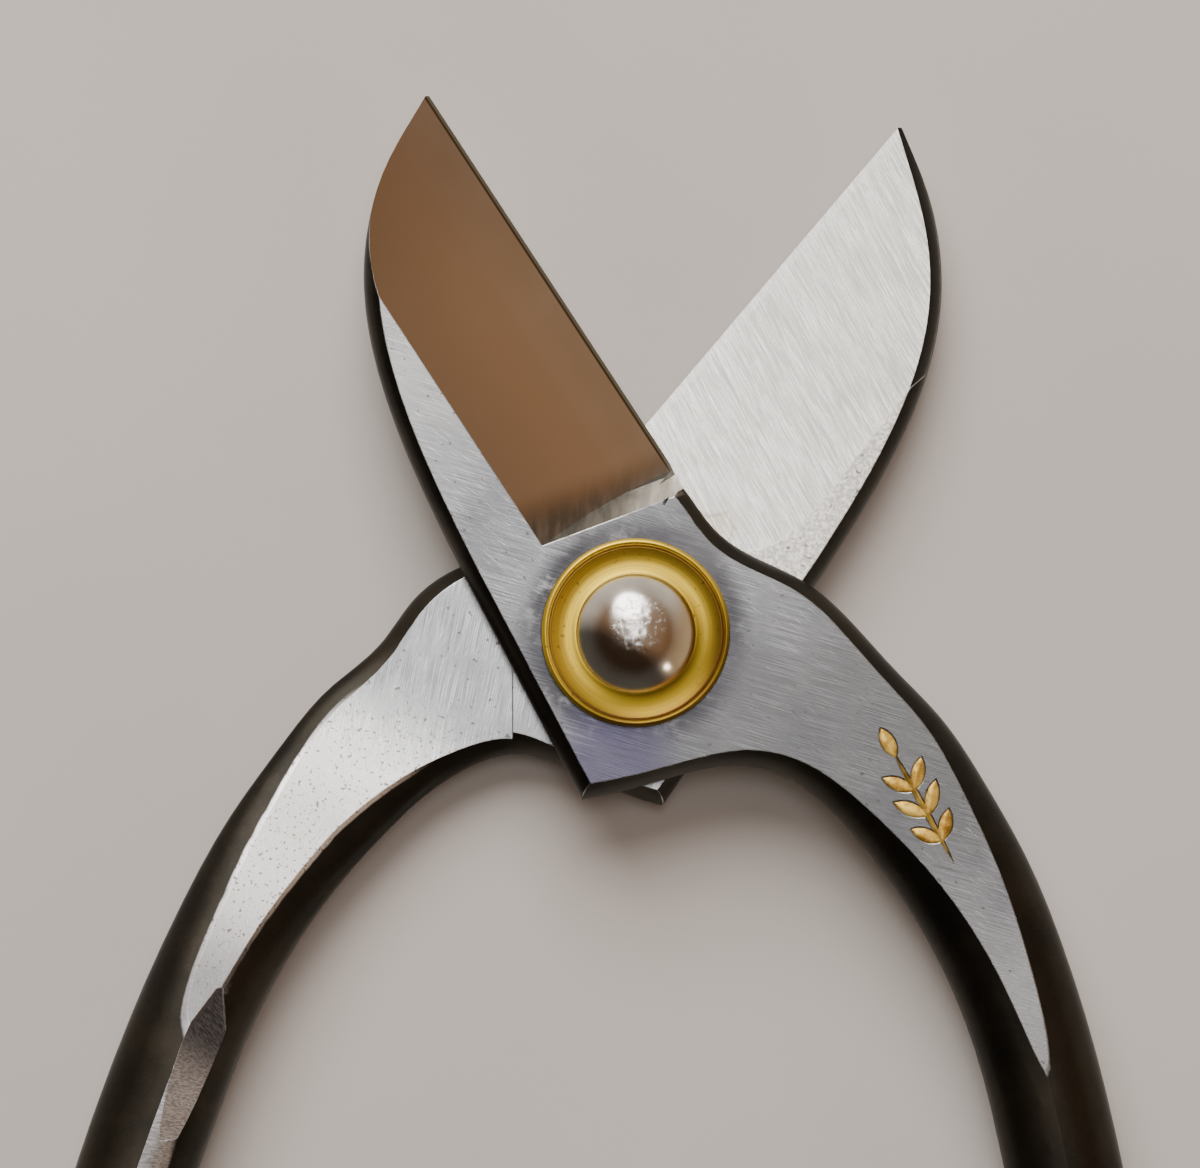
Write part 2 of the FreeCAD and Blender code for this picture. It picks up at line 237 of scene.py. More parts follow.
# %% Scratches, pits and bright corners
def scratches(finish, angle, length, width):
    """Fine parallel scratches, as a value about 0.5."""
    turned = finish.turn(finish.place, -angle)
    drawn = finish.stretch(turned, 1 / length, 1 / width, 1 / width)
    return finish.noise(drawn, 1.0, detail=3.0, roughness=0.6)


def pits(finish, scale, rarity):
    """Small dark specks, 1 in a speck."""
    return finish.fade(finish.noise(finish.place, scale, detail=1.0), rarity, rarity + 0.06)


def rounded_normal(finish, width):
    return finish.add("Bevel", width, samples=6).outputs[0]


def bright_corner(finish, rounded):
    """1 on a convex or concave corner, 0 on open surface."""
    real = finish.add("NewGeometry").outputs["Normal"]
    facing = finish.add("VectorMath", rounded, real, operation="DOT_PRODUCT").outputs["Value"]
    return finish.fade(facing, 0.988, 0.94)


# %% [markdown]
# ## Where a point lies on an arm
#
# The arms are a pair: one is the other turned over, but for a slightly different bow. A finish that
# knows the place of a point on the closed arm, and its height above the joint face, works for both. The
# grinder's flats follow from the height: the outer flat is the highest face, and the inner one is a low
# step and then a long ramp.

# %% Sizes of the ground faces
FLAT_HEIGHT = front_flat - joint_face
LAND_HEIGHT = bearing_land - joint_face
RELIEF = 0.45 * MM
RAMP_START = 19.0 * MM
RAMP_ANGLE = math.radians(8.0)
RAMP_BLEND = 90.0 * MM
HOLLOW_WIDTH = 16.2 * MM
HOLLOW_END = washer_radius + 2.1 * MM
BLADE_TIP = Vector((0, 60.0)) * MM
EDGE_HEEL = Vector((10.0, 15.3)) * MM


# %% The place of a point on its arm
class ArmPlace:
    """Values every arm finish needs: across and along the closed arm, height, and the way it faces."""

    def __init__(self, finish, side):
        x, y, z = finish.split(finish.turn(finish.place, -side * half_open))
        self.across = finish.times(x, float(side))
        self.along = y
        self.height = finish.times(finish.math("SUBTRACT", z, joint_face), float(side))
        normal = finish.split(finish.turn(finish.where.outputs["Normal"], -side * half_open))
        self.facing = finish.times(normal[2], float(side))
        self.leaning = finish.times(normal[0], float(side))
        self.radius = finish.distance(x, y)
        edge_way = (BLADE_TIP - EDGE_HEEL).normalized()
        gap_x = finish.math("SUBTRACT", self.across, EDGE_HEEL.x)
        gap_y = finish.math("SUBTRACT", self.along, EDGE_HEEL.y)
        self.from_edge = finish.plus(finish.times(gap_x, -edge_way.y), finish.times(gap_y, edge_way.x))
        self.up_edge = finish.plus(finish.times(gap_x, edge_way.x), finish.times(gap_y, edge_way.y))

    def outer_flat(self, finish):
        return finish.fade(self.height, FLAT_HEIGHT - 0.03 * MM, FLAT_HEIGHT - 0.01 * MM)

    def hollow(self, finish):
        """The hollow-ground face, and the steep ramp where the wheel left it."""
        open_face = finish.fade(self.facing, 0.885, 0.895)
        ramp = finish.times(
            finish.fade(self.facing, 0.46, 0.50),
            finish.fade(self.along, HOLLOW_END + 3.4 * MM, HOLLOW_END + 3.2 * MM),
        )
        lies = finish.math("MAXIMUM", open_face, ramp)
        lies = finish.times(lies, finish.fade(self.along, HOLLOW_END - 0.3 * MM, HOLLOW_END + 0.1 * MM))
        lies = finish.times(lies, finish.fade(self.from_edge, HOLLOW_WIDTH + 0.2 * MM, HOLLOW_WIDTH))
        lies = finish.times(lies, finish.fade(self.from_edge, -0.4 * MM, -0.2 * MM))
        high = finish.fade(self.height, FLAT_HEIGHT - 0.01 * MM, FLAT_HEIGHT - 0.03 * MM)
        return finish.times(lies, high)

    def inner_flat(self, finish):
        """Bearing land, step and ramp on the side that meets the other arm."""
        drop = finish.math("MULTIPLY", self.along, -1.0)
        run = finish.math("MAXIMUM", finish.math("SUBTRACT", drop, RAMP_START), 0.0)
        bend = RAMP_BLEND * math.sin(RAMP_ANGLE)
        inside = finish.math("MINIMUM", run, bend)
        squared = finish.math("SUBTRACT", RAMP_BLEND ** 2, finish.times(inside, inside))
        fall = finish.math("SUBTRACT", RAMP_BLEND, finish.math("SQRT", squared))
        straight = finish.times(finish.math("SUBTRACT", run, inside), math.tan(RAMP_ANGLE))
        level = finish.math("SUBTRACT", LAND_HEIGHT + RELIEF, finish.plus(fall, straight))
        off = finish.math("ABSOLUTE", finish.math("SUBTRACT", self.height, level))
        relieved = finish.fade(off, 0.14 * MM, 0.08 * MM)
        land = finish.fade(self.height, LAND_HEIGHT + 0.02 * MM, LAND_HEIGHT + 0.01 * MM)
        ground = finish.math("MAXIMUM", relieved, finish.times(land, finish.fade(drop, 0.03, 0.02)))
        return finish.times(ground, finish.fade(self.facing, -0.93, -0.975))


# %% [markdown]
# ## The arms: forge black, ground bright
#
# The arms are soft iron. Their walls and handles keep the black oxide of the quench, a little brown
# where hands rub it. The flats were ground after that, and so were the hollow of the blade, polished
# until it mirrors, and the inner faces. One material holds all of these, because one forging does:
# masks from the arm's own place choose between them, and bright corners lie over all but the hollow.

# %% Tones of the arms, linear red, green and blue
FRONT_FLAT_TONE = (0.205, 0.206, 0.212)
BACK_FLAT_TONE = (0.33, 0.333, 0.34)
HAIR_TONE = (0.86, 0.86, 0.86)
WORN_TONE = (0.88, 0.88, 0.87)
RUST_TONE = (0.07, 0.06, 0.05)
OXIDE_TONES = (0.028, 0.026, 0.022), (0.047, 0.041, 0.031)
RUBBED_OXIDE_TONE = (0.11, 0.10, 0.08)
HALF_BRIGHT_TONE = (0.42, 0.42, 0.41)
# Darker middle of the front flat.
MIDDLE_DARK_TONE = (0.09, 0.09, 0.09)
LOW_FLAT_TONE = (0.42, 0.42, 0.415)
# Painted highlight: the bright middle of the inner flat stands in for the softbox's reflection.
PAINTED_HIGHLIGHT_TONE = (1.0, 1.0, 0.985)
# Painted shade: the inner flat's low end, where the ramp turns away from the light.
PAINTED_SHADE_END_TONE = (0.33, 0.33, 0.34)
MATT_IRON_TONES = (0.44, 0.42, 0.385), (0.72, 0.69, 0.64)
FACET_TONES = (0.075, 0.082, 0.095), (0.18, 0.195, 0.22)
RIDGE_TONES = (0.38, 0.40, 0.43), (0.75, 0.77, 0.80)
OIL_TONE = (0.034, 0.033, 0.039)
HEAT_GREY_TONE = (0.105, 0.104, 0.11)
HEAT_PURPLE_TONE = (0.075, 0.069, 0.112)
RUNOUT_TONES = (0.20, 0.19, 0.17), (0.32, 0.30, 0.27)
MIRROR_TONE = (0.80, 0.76, 0.72)
MIRROR_EDGE_TONE = (0.72, 0.68, 0.62)
MIRROR_TIP_TONE = (0.56, 0.52, 0.49)
LAST_BEVEL_TONE = (0.16, 0.14, 0.10)

# %% Sizes and directions of the marks
CORNER_WEAR = 0.16 * MM
FRONT_STROKE = math.radians(-13)
BACK_STROKE = math.radians(82)
STRAY_TURN = math.radians(21)
BELT_STROKE = math.radians(-46)
RIDGE_STROKE = math.radians(-4)
FACET_FACING = -0.954
FACET_LEANING = -0.286
BLOOM_ACROSS = -6.9 * MM
BLOOM_ALONG = -11.6 * MM
MARK_DEPTH = 0.06 * MM


# %% The finish of one arm
def worn_normal(finish, rounded, hollow):
    """Corners are rubbed round everywhere but in the hollow, which runs on over the welded steel."""
    node = finish.add("Mix", hollow, data_type="VECTOR")
    finish.feed(node.inputs[4], rounded)
    finish.feed(node.inputs[5], finish.add("NewGeometry").outputs["Normal"])
    return node.outputs[1]


def arm_finish(name, side, flat_tone, stroke):
    finish = Finish(name)
    spot = ArmPlace(finish, side)
    hollow = spot.hollow(finish)
    outer = spot.outer_flat(finish)
    inner = spot.inner_flat(finish)
    ground = finish.math("MAXIMUM", outer, inner)
    black = finish.math("SUBTRACT", 1.0, ground)
    not_hollow = finish.math("SUBTRACT", 1.0, hollow)

    fine = scratches(finish, stroke, 6 * MM, 0.05 * MM)
    stray = scratches(finish, stroke - STRAY_TURN, 3 * MM, 0.055 * MM)
    cloud = finish.noise(finish.place, 95.0, detail=4.0, roughness=0.6)
    grain = finish.noise(finish.place, 4200.0, detail=2.0)
    line = finish.fade(fine, 0.36, 0.66)

    steel = ground_steel(finish, flat_tone, line, stray, cloud)
    steel = along_the_handle(finish, spot, steel, side)
    steel = finish.mix(finish.times(pitting(finish, spot, side), 0.75), steel, RUST_TONE)
    steel = smudge(finish, spot, steel, outer)
    colour = finish.mix(ground, forge_black(finish, cloud, grain), steel)
    colour = belt_marks(finish, spot, colour, black)
    colour = finish.mix(hollow, colour, mirror_tone(finish, spot))

    rounded = rounded_normal(finish, CORNER_WEAR)
    corner = bright_corner(finish, rounded)
    rub = finish.fade(finish.noise(finish.place, 420.0, detail=3.0), 0.34, 0.56)
    worn = finish.times(corner, rub, not_hollow)
    finish.set("Base Color", finish.mix(finish.times(worn, 0.85), colour, WORN_TONE))

    rough = finish.mix_value(ground, 0.40, finish.mix_value(line, 0.34, 0.25))
    rough = finish.mix_value(hollow, rough, mirror_roughness(finish, spot))
    finish.set("Roughness", finish.mix_value(worn, rough, 0.28))
    relief = finish.times(black, finish.plus(finish.times(cloud, 0.35), finish.times(grain, 0.08)))
    relief = finish.plus(relief, finish.times(ground, finish.plus(fine, stray), 0.10))
    relief = finish.times(relief, not_hollow)
    finish.bump(relief, MARK_DEPTH, 0.6, worn_normal(finish, rounded, hollow))
    return finish


# %% What the grinder leaves, and what the forge leaves
def ground_steel(finish, tone, line, stray, cloud):
    """Fine parallel strokes, a few brighter hairs across them, and darker clouds."""
    light = tuple(min(1.0, c * 1.30) for c in tone)
    dark = tuple(c * 0.74 for c in tone)
    steel = finish.mix(line, dark, light)
    clouded = tuple(c * share for c, share in zip(tone, (0.56, 0.57, 0.62)))
    steel = finish.mix(finish.times(finish.fade(cloud, 0.42, 0.66), 0.55), steel, clouded)
    hair = finish.fade(stray, 0.61, 0.68)
    return finish.mix(finish.times(hair, 0.55), steel, HAIR_TONE)


def forge_black(finish, cloud, grain):
    """Black oxide, here and there rubbed a little brown."""
    oxide = finish.mix(finish.fade(cloud, 0.35, 0.7), *OXIDE_TONES)
    return finish.mix(finish.times(finish.fade(grain, 0.55, 0.75), 0.12), oxide, RUBBED_OXIDE_TONE)


def along_the_handle(finish, spot, steel, side):
    """The front flat is darkest by the sprig. The inner one has a painted highlight there and painted shade
    at its low end, and is matt on the blade.
    """
    if side > 0:
        high = finish.fade(spot.along, 16 * MM, 36 * MM)
        steel = finish.mix(finish.times(high, 0.55), steel, HALF_BRIGHT_TONE)
        # The middle of the front flat is darkened.
        middle = finish.between(spot.along, -34 * MM, -6 * MM, 7 * MM)
        steel = finish.mix(finish.times(middle, 0.6), steel, MIDDLE_DARK_TONE)
        low = finish.fade(spot.along, -38 * MM, -50 * MM)
        return finish.mix(finish.times(low, 0.5), steel, LOW_FLAT_TONE)
    # Painted highlight: the middle of the inner flat is made bright, standing in for the softbox's
    # reflection.
    painted_highlight = finish.between(spot.along, -46 * MM, -22 * MM, 8 * MM)
    steel = finish.mix(painted_highlight, steel, PAINTED_HIGHLIGHT_TONE)
    # Painted shade: the low end of the inner flat is darkened where the ramp turns away from the light.
    low = finish.fade(spot.along, -44 * MM, -58 * MM)
    steel = finish.mix(finish.times(low, 0.7), steel, PAINTED_SHADE_END_TONE)
    grain = finish.fade(finish.noise(finish.place, 2600.0, detail=3.0, roughness=0.7), 0.42, 0.60)
    matt = finish.fade(spot.along, 7 * MM, 9 * MM)
    return finish.mix(matt, steel, finish.mix(grain, *MATT_IRON_TONES))


def pitting(finish, spot, side):
    """Dark specks of rust: a few on the front flat, many along the middle of the inner one."""
    few = pits(finish, 1500.0, 0.69)
    if side > 0:
        return few
    many = pits(finish, 2600.0, 0.64)
    middle = finish.between(spot.along, -52 * MM, -17 * MM, 6 * MM)
    return finish.math("MAXIMUM", few, finish.times(many, middle))


def belt_marks(finish, spot, colour, black):
    """Past the inner flat a grinding belt touched the bar: a striped facet, then a pale worn ridge."""
    stripe = finish.fade(scratches(finish, BELT_STROKE, 4 * MM, 0.16 * MM), 0.38, 0.62)
    level = finish.math("ABSOLUTE", finish.plus(spot.facing, -FACET_FACING))
    across = finish.math("ABSOLUTE", finish.plus(spot.leaning, -FACET_LEANING))
    facet = finish.times(finish.fade(level, 0.014, 0.008), finish.fade(across, 0.035, 0.02))
    facet = finish.times(facet, finish.fade(spot.along, -51 * MM, -53 * MM))
    low = finish.fade(spot.along, -56 * MM, -61 * MM)
    ridge = finish.times(finish.fade(spot.facing, -0.88, -0.93), low, black)
    ridge = finish.times(ridge, finish.between(spot.leaning, -0.42, -0.05, 0.03))
    hatch = finish.fade(scratches(finish, RIDGE_STROKE, 1.5 * MM, 0.14 * MM), 0.38, 0.60)
    worn = finish.mix(hatch, *RIDGE_TONES)
    colour = finish.mix(finish.times(ridge, 0.85), colour, worn)
    striped = finish.mix(stripe, *FACET_TONES)
    striped = finish.mix(finish.fade(spot.along, -57 * MM, -64 * MM), striped, worn)
    return finish.mix(finish.times(facet, black), colour, striped)


def smudge(finish, spot, steel, outer):
    """Dark oil and grey scorch marks all round the washer, and a purple bloom on one side of it."""
    ring = finish.fade(spot.radius, washer_radius + 3.0 * MM, washer_radius + 0.5 * MM)
    blot = finish.fade(finish.noise(finish.place, 330.0, detail=5.0, roughness=0.7), 0.30, 0.48)
    stain = finish.times(ring, blot, outer)
    steel = finish.mix(finish.times(stain, 0.92), steel, OIL_TONE)
    wide = finish.fade(spot.radius, washer_radius + 9 * MM, washer_radius)
    patch = finish.fade(finish.noise(finish.place, 70.0, detail=3.0), 0.36, 0.60)
    steel = finish.mix(finish.times(wide, patch, outer, 0.75), steel, HEAT_GREY_TONE)
    away = finish.distance(finish.plus(spot.across, -BLOOM_ACROSS), finish.plus(spot.along, -BLOOM_ALONG))
    bloom = finish.fade(away, 9.0 * MM, 2.5 * MM)
    return finish.mix(finish.times(bloom, outer, 0.78), steel, HEAT_PURPLE_TONE)


# %% The polished hollow
def mirror_tone(finish, spot):
    """Polished steel: darker to the edge and the tip, olive on the last bevel, dull at the run-out."""
    runout = finish.fade(spot.along, HOLLOW_END + 6.0 * MM, HOLLOW_END + 1.5 * MM)
    streak = scratches(finish, 0.0, 0.9 * MM, 5 * MM)
    dull = finish.mix(finish.fade(streak, 0.35, 0.65), *RUNOUT_TONES)
    near_edge = finish.fade(spot.from_edge, 5.0 * MM, 0.5 * MM)
    polished = finish.mix(near_edge, MIRROR_TONE, MIRROR_EDGE_TONE)
    towards_tip = finish.fade(spot.along, 34 * MM, 58 * MM)
    polished = finish.mix(finish.times(towards_tip, 0.85), polished, MIRROR_TIP_TONE)
    bevel = finish.fade(spot.from_edge, 0.62 * MM, 0.50 * MM)
    polished = finish.mix(bevel, polished, LAST_BEVEL_TONE)
    return finish.mix(runout, polished, dull)


def mirror_roughness(finish, spot):
    haze = finish.noise(finish.place, 160.0, detail=3.0)
    runout = finish.fade(spot.along, HOLLOW_END + 4.5 * MM, HOLLOW_END + 1.0 * MM)
    return finish.mix_value(runout, finish.mix_value(haze, 0.07, 0.15), 0.30)


# %% Both arms
arm_finish("blackened_steel_front", 1, FRONT_FLAT_TONE, FRONT_STROKE).wear(nodes["front_arm"])
arm_finish("blackened_steel_back", -1, BACK_FLAT_TONE, BACK_STROKE).wear(nodes["back_arm"])
print("arms finished: forge black, ground flats, polished hollow")

# %% [markdown]
# ## The cutting steel
#
# A thin layer of hard steel is forge-welded to each blade's inner face. Its outer side is the lower part
# of the mirror hollow. Its inner side is stoned flat, with strokes across the blade, and a narrow
# brighter strip along the edge where the last stone took its burr off. The strip is partly that polish
# and partly a painted highlight for the narrow bevel along the edge.


# %% Tones of the cutting steel, and where its stain lies
STONED_TONES = (0.58, 0.575, 0.545), (0.90, 0.89, 0.84)
STRAY_TONE = (0.88, 0.87, 0.85)
CLOUD_TONE = (0.45, 0.44, 0.42)
# Partly polish, partly a painted highlight for the narrow bevel along the edge.
BURR_STRIP_HIGHLIGHT_TONE = (0.84, 0.82, 0.78)
STEEL_WALL_TONE = (0.040, 0.036, 0.031)
STAIN_TONE = (0.66, 0.60, 0.47)
STAIN_RIM_TONE = (0.30, 0.24, 0.15)
STAIN_FROM_EDGE = 12.6 * MM
STAIN_UP_EDGE = 1.0 * MM


# %% The finish of the cutting steel
def cutting_steel_finish(name, side, stroke):
    finish = Finish(name)
    spot = ArmPlace(finish, side)
    fine = scratches(finish, stroke, 3.5 * MM, 0.07 * MM)
    stray = scratches(finish, stroke + math.radians(9), 2.0 * MM, 0.06 * MM)
    cloud = finish.noise(finish.place, 120.0, detail=3.0)
    line = finish.fade(fine, 0.34, 0.66)
    stoned = finish.mix(line, *STONED_TONES)
    stoned = finish.mix(finish.times(finish.fade(stray, 0.56, 0.68), 0.6), stoned, STRAY_TONE)
    stoned = finish.mix(finish.times(finish.fade(cloud, 0.45, 0.7), 0.25), stoned, CLOUD_TONE)
    # Partly polish, partly a painted highlight: a brighter strip along the edge, for the narrow bevel
    # there.
    ragged = finish.times(finish.noise(finish.place, 700.0, detail=3.0), 0.9 * MM)
    from_edge = finish.plus(spot.from_edge, ragged)
    burr_strip_highlight = finish.fade(from_edge, 1.35 * MM, 1.1 * MM)
    stoned = finish.mix(finish.times(burr_strip_highlight, 0.8), stoned, BURR_STRIP_HIGHLIGHT_TONE)
    stoned = oil_stain(finish, spot, stoned)
    inner = finish.fade(spot.facing, -0.90, -0.97)
    wall = finish.fade(spot.facing, 0.62, 0.55)
    outside = finish.mix(wall, mirror_tone(finish, spot), STEEL_WALL_TONE)
    finish.set("Base Color", finish.mix(inner, outside, stoned))
    rough = finish.mix_value(line, 0.36, 0.25)
    outside_rough = finish.mix_value(wall, mirror_roughness(finish, spot), 0.36)
    finish.set("Roughness", finish.mix_value(inner, outside_rough, rough))
    relief = finish.times(finish.plus(fine, stray), inner, 0.22)
    finish.bump(relief, MARK_DEPTH, 0.6)
    return finish


def oil_stain(finish, spot, stoned):
    """A dried, yellowish drop low on the blade."""
    away_x = finish.math("SUBTRACT", spot.from_edge, STAIN_FROM_EDGE)
    away_y = finish.math("SUBTRACT", spot.up_edge, STAIN_UP_EDGE)
    away = finish.distance(away_x, away_y)
    wobble = finish.times(finish.noise(finish.place, 500.0, detail=3.0), 3.0 * MM)
    away = finish.plus(away, wobble)
    drop = finish.times(finish.fade(away, 4.2 * MM, 3.0 * MM), 0.5)
    rim = finish.between(away, 3.5 * MM, 3.8 * MM, 0.15 * MM)
    stoned = finish.mix(drop, stoned, STAIN_TONE)
    return finish.mix(finish.times(rim, 0.45), stoned, STAIN_RIM_TONE)


cutting_steel_finish("hard_steel_front", 1, math.radians(60)).wear(nodes["front_edge_steel"])
cutting_steel_finish("hard_steel_back", -1, math.radians(-58)).wear(nodes["back_edge_steel"])
print("cutting steel finished")

# %% [markdown]
# ## Turned pieces
#
# The washers and the rivet came off a lathe, so each is a profile spun about the pivot. The profile
# starts as a chain of points; corners that a tool leaves round get a bevel before the spin. The Spin
# operator with use_merge closes the last step onto the first.


# %% Spin a profile
def arc_points(start, middle_lift, end, steps):
    """Points from start to end on a shallow arc, its middle moved sideways by middle_lift."""
    start, end = Vector(start), Vector(end)
    chord = end - start
    side = Vector((-chord.y, chord.x)).normalized()
    points = []
    for step in range(steps + 1):
        share = step / steps
        points.append(start + chord * share + side * (4 * middle_lift * share * (1 - share)))
    return points


def spun_piece(name, profile, steps=192):
    """A closed turned piece from (radius, level) points in millimetres, axis on the pivot."""
    work = bmesh.new()
    ring = [work.verts.new((p[0] * MM, 0, p[1] * MM)) for p in profile]
    chain = [work.edges.new(pair) for pair in zip(ring, ring[1:])]
    if profile[0][0] > 0:
        chain.append(work.edges.new((ring[-1], ring[0])))
    bmesh.ops.spin(
        work, geom=ring + chain, cent=(0, 0, 0), axis=(0, 0, 1), angle=math.tau, steps=steps,
        use_merge=True, use_duplicate=False,
    )
    bmesh.ops.remove_doubles(work, verts=work.verts, dist=0.001 * MM)
    bmesh.ops.recalc_face_normals(work, faces=work.faces)
    return finished(work, name)


def finished(work, name, sharp=math.radians(32)):
    """Turns the worked mesh into an object with smooth faces and sharp corners."""
    for face in work.faces:
        face.smooth = True
    for edge in work.edges:
        edge.smooth = not (edge.is_manifold and edge.calc_face_angle() > sharp)
    mesh = bpy.data.meshes.new(name)
    work.to_mesh(mesh)
    work.free()
    piece = bpy.data.objects.new(name, mesh)
    bpy.context.scene.collection.objects.link(piece)
    print(f"{name}: {len(mesh.polygons)} faces")
    return piece


# %% [markdown]
# ## The dished brass washer
#
# The front washer is a saucer: a flat seat under the dome, a dish that rises outwards, a narrow groove
# and a rolled rim. Spinning leaves fine rings in it, and polish that has since turned brown in the
# groove. The rings are in the material; the rim and the groove are real shape.

# %% Front washer: shape
base = washer_base / MM
rim = washer_radius / MM
lip = washer_top / MM
seat = base + 1.0
bore = 3.53
washer_profile = [(bore, base), (rim - 0.4, base), (rim, base + 0.4)]
washer_profile += arc_points((rim, lip - 0.36), -0.30, (rim - 0.72, lip - 0.36), 10)
washer_profile += [(rim - 0.78, lip - 0.62)]
washer_profile += arc_points((rim - 0.92, lip - 0.60), 0.26, (6.25, seat + 0.02), 22)
washer_profile += [(6.1, seat), (bore, seat)]
washer = spun_piece("dished_washer", washer_profile)
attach(washer, "back_half")
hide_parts("front_washer")


# %% Spun brass
def brass_finish(name):
    finish = Finish(name)
    x, y, z = finish.split(finish.place)
    radius = finish.distance(x, y)
    ring_place = finish.join(finish.times(radius, 1 / (0.09 * MM)), finish.times(z, 1 / (0.4 * MM)), 0.0)
    rings = finish.noise(ring_place, 1.0, detail=3.0, roughness=0.6)
    broad = finish.noise(finish.join(finish.times(radius, 1 / (0.5 * MM)), 0.0, 3.0), 1.0, detail=2.0)
    cloud = finish.noise(finish.place, 210.0, detail=5.0, roughness=0.65)
    gold = finish.mix(finish.fade(rings, 0.35, 0.65), (0.70, 0.47, 0.035), (0.90, 0.66, 0.08))
    gold = finish.mix(finish.times(finish.fade(broad, 0.4, 0.6), 0.25), gold, (0.50, 0.34, 0.07))
    groove = finish.between(radius, washer_radius - 0.98 * MM, washer_radius - 0.68 * MM, 0.10 * MM)
    # Painted shade: the lower right of the washer is darkened towards brown, as if it were turned away from
    # the light.
    brown = finish.fade(finish.plus(finish.times(y, -1.0), finish.times(x, 0.6)), -3 * MM, 8 * MM)
    gold = finish.mix(finish.times(brown, 0.95), gold, (0.19, 0.125, 0.010))
    tarnish = finish.math("MAXIMUM", finish.times(groove, 0.85), outer_tarnish(finish, x, y, radius, cloud))
    gold = finish.mix(tarnish, gold, (0.20, 0.095, 0.03))
    speck = pits(finish, 1700.0, 0.70)
    gold = finish.mix(finish.times(speck, 0.6), gold, (0.16, 0.09, 0.03))
    finish.set("Base Color", gold)
    finish.set("Roughness", finish.mix_value(finish.fade(rings, 0.3, 0.7), 0.48, 0.38))
    finish.bump(finish.plus(finish.times(rings, 0.3), finish.times(broad, 0.4)), 0.05 * MM, 0.5)
    return finish


def outer_tarnish(finish, x, y, radius, cloud):
    """Brown-red bloom, heavier to the lower right."""
    way = finish.plus(finish.times(x, 55.0), finish.times(y, -60.0))
    far = finish.fade(radius, washer_radius - 2.4 * MM, washer_radius - 0.9 * MM)
    bloom = finish.times(finish.fade(way, 0.0, 0.75), far)
    return finish.times(bloom, finish.fade(cloud, 0.30, 0.62), 0.6)


brass = brass_finish("spun_brass")
brass.wear(washer)
brass.wear(nodes["rear_washer"])
print("brass on the front and rear washers")

# %% [markdown]
# ## The rivet
#
# The rivet's head was polished and then struck many times in setting it, so its crown is flatter than
# a true dome and dented. The shape is spun like the washer. The blows are pressed in afterwards: each one
# lowers the crown a few hundredths of a millimetre under a soft round spot. That catches the light the
# way the real crown does, which a painted pattern can't.

# %% Rivet: shape
dome_radius = 6.2
crown = dome_top / MM
head_seat = seat
tail = 1.5
brim = 0.35


def dome_level(radius):
    """Height of the dome: nearly flat at the crown, steeper towards the brim."""
    share = radius / dome_radius
    return head_seat + brim + (crown - head_seat - brim) * (1 - share ** 2.1)


rivet_profile = [(0.0, 0.0), (2.5, 0.0)]
rivet_profile += arc_points((2.6, 0.02), -0.22, (5.0, tail), 14)
rivet_profile += [(3.5, tail), (3.5, head_seat), (dome_radius - 0.15, head_seat)]
rivet_profile += [(dome_radius, head_seat + 0.15)]
DOME_RINGS = 60
for ring in range(DOME_RINGS + 1):
    radius = dome_radius * math.cos(ring / DOME_RINGS * math.pi / 2)
    rivet_profile.append((radius if ring < DOME_RINGS else 0.0, dome_level(radius)))
rivet = spun_piece("hammered_rivet", rivet_profile, steps=160)


# %% Rivet: the hammer's marks
def hammer(piece, blows, spread, level, depth):
    """Presses soft round dents into the crown, at fixed places round the middle."""
    spots = []
    for blow in range(blows):
        turn = blow * 2.4
        reach = spread * math.sqrt((blow + 0.5) / blows)
        spots.append((Vector((math.cos(turn), math.sin(turn))) * reach, 0.55 + 0.35 * math.sin(blow * 1.7)))
    work = bmesh.new()
    work.from_mesh(piece.data)
    for vertex in work.verts:
        if vertex.co.z < level:
            continue
        place = Vector((vertex.co.x, vertex.co.y)) / MM
        press = 0.0
        for spot, size in spots:
            press += max(0.0, 1 - (place - spot).length_squared / size ** 2) ** 2
        rough = noise.noise(vertex.co / (0.45 * MM))
        fade = max(0.0, 1 - (place.length / (spread * 1.35)) ** 4)
        vertex.co.z -= (depth * press + depth * 0.22 * (rough + 1)) * MM * fade
    work.to_mesh(piece.data)
    work.free()


hammer(rivet, blows=17, spread=2.7, level=(head_seat + 1.0) * MM, depth=0.035)
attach(rivet, "back_half")
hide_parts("rivet")


# %% Polished steel
STRUCK_OFF_CENTRE = 0.9 * MM


def dome_finish(name):
    finish = Finish(name)
    cloud = finish.noise(finish.place, 260.0, detail=4.0)
    x, y, z = finish.split(finish.place)
    away = finish.distance(x, finish.math("SUBTRACT", y, STRUCK_OFF_CENTRE))
    struck = finish.fade(finish.plus(away, finish.times(cloud, 1.2 * MM)), 4.0 * MM, 3.0 * MM)
    nick = finish.fade(finish.noise(finish.place, 1500.0, detail=4.0, roughness=0.7), 0.52, 0.66)
    steel = finish.mix(finish.fade(cloud, 0.3, 0.7), (0.70, 0.67, 0.62), (0.82, 0.80, 0.76))
    # Painted reflection: the right side of the dome is tinted reddish brown, for the brown room it mirrors.
    painted_reflection = finish.fade(finish.plus(x, finish.times(y, -0.2)), 2.0 * MM, 4.8 * MM)
    steel = finish.mix(finish.times(painted_reflection, 0.75), steel, (0.44, 0.27, 0.10))
    steel = finish.mix(finish.times(struck, nick, 0.35), steel, (0.36, 0.34, 0.31))
    finish.set("Base Color", steel)
    finish.set("Roughness", finish.mix_value(struck, 0.17, finish.mix_value(nick, 0.26, 0.36)))
    finish.bump(finish.times(struck, nick), 0.03 * MM, 0.5)
    return finish


dome_finish("polished_steel").wear(rivet)
print("rivet finished")

# %% [markdown]
# ## Gold in the engraving
#
# The front handle carries an engraved sprig of leaves, filled with gold paint. The frame has the
# engraving as real recesses. The paint is a thin piece of its own in each recess, a little lower than
# the flat, and sunk at its rim, as paint is after it dries. Each leaf is two arcs from the stalk to the
# point: spinning one corner about the arc's centre draws them.

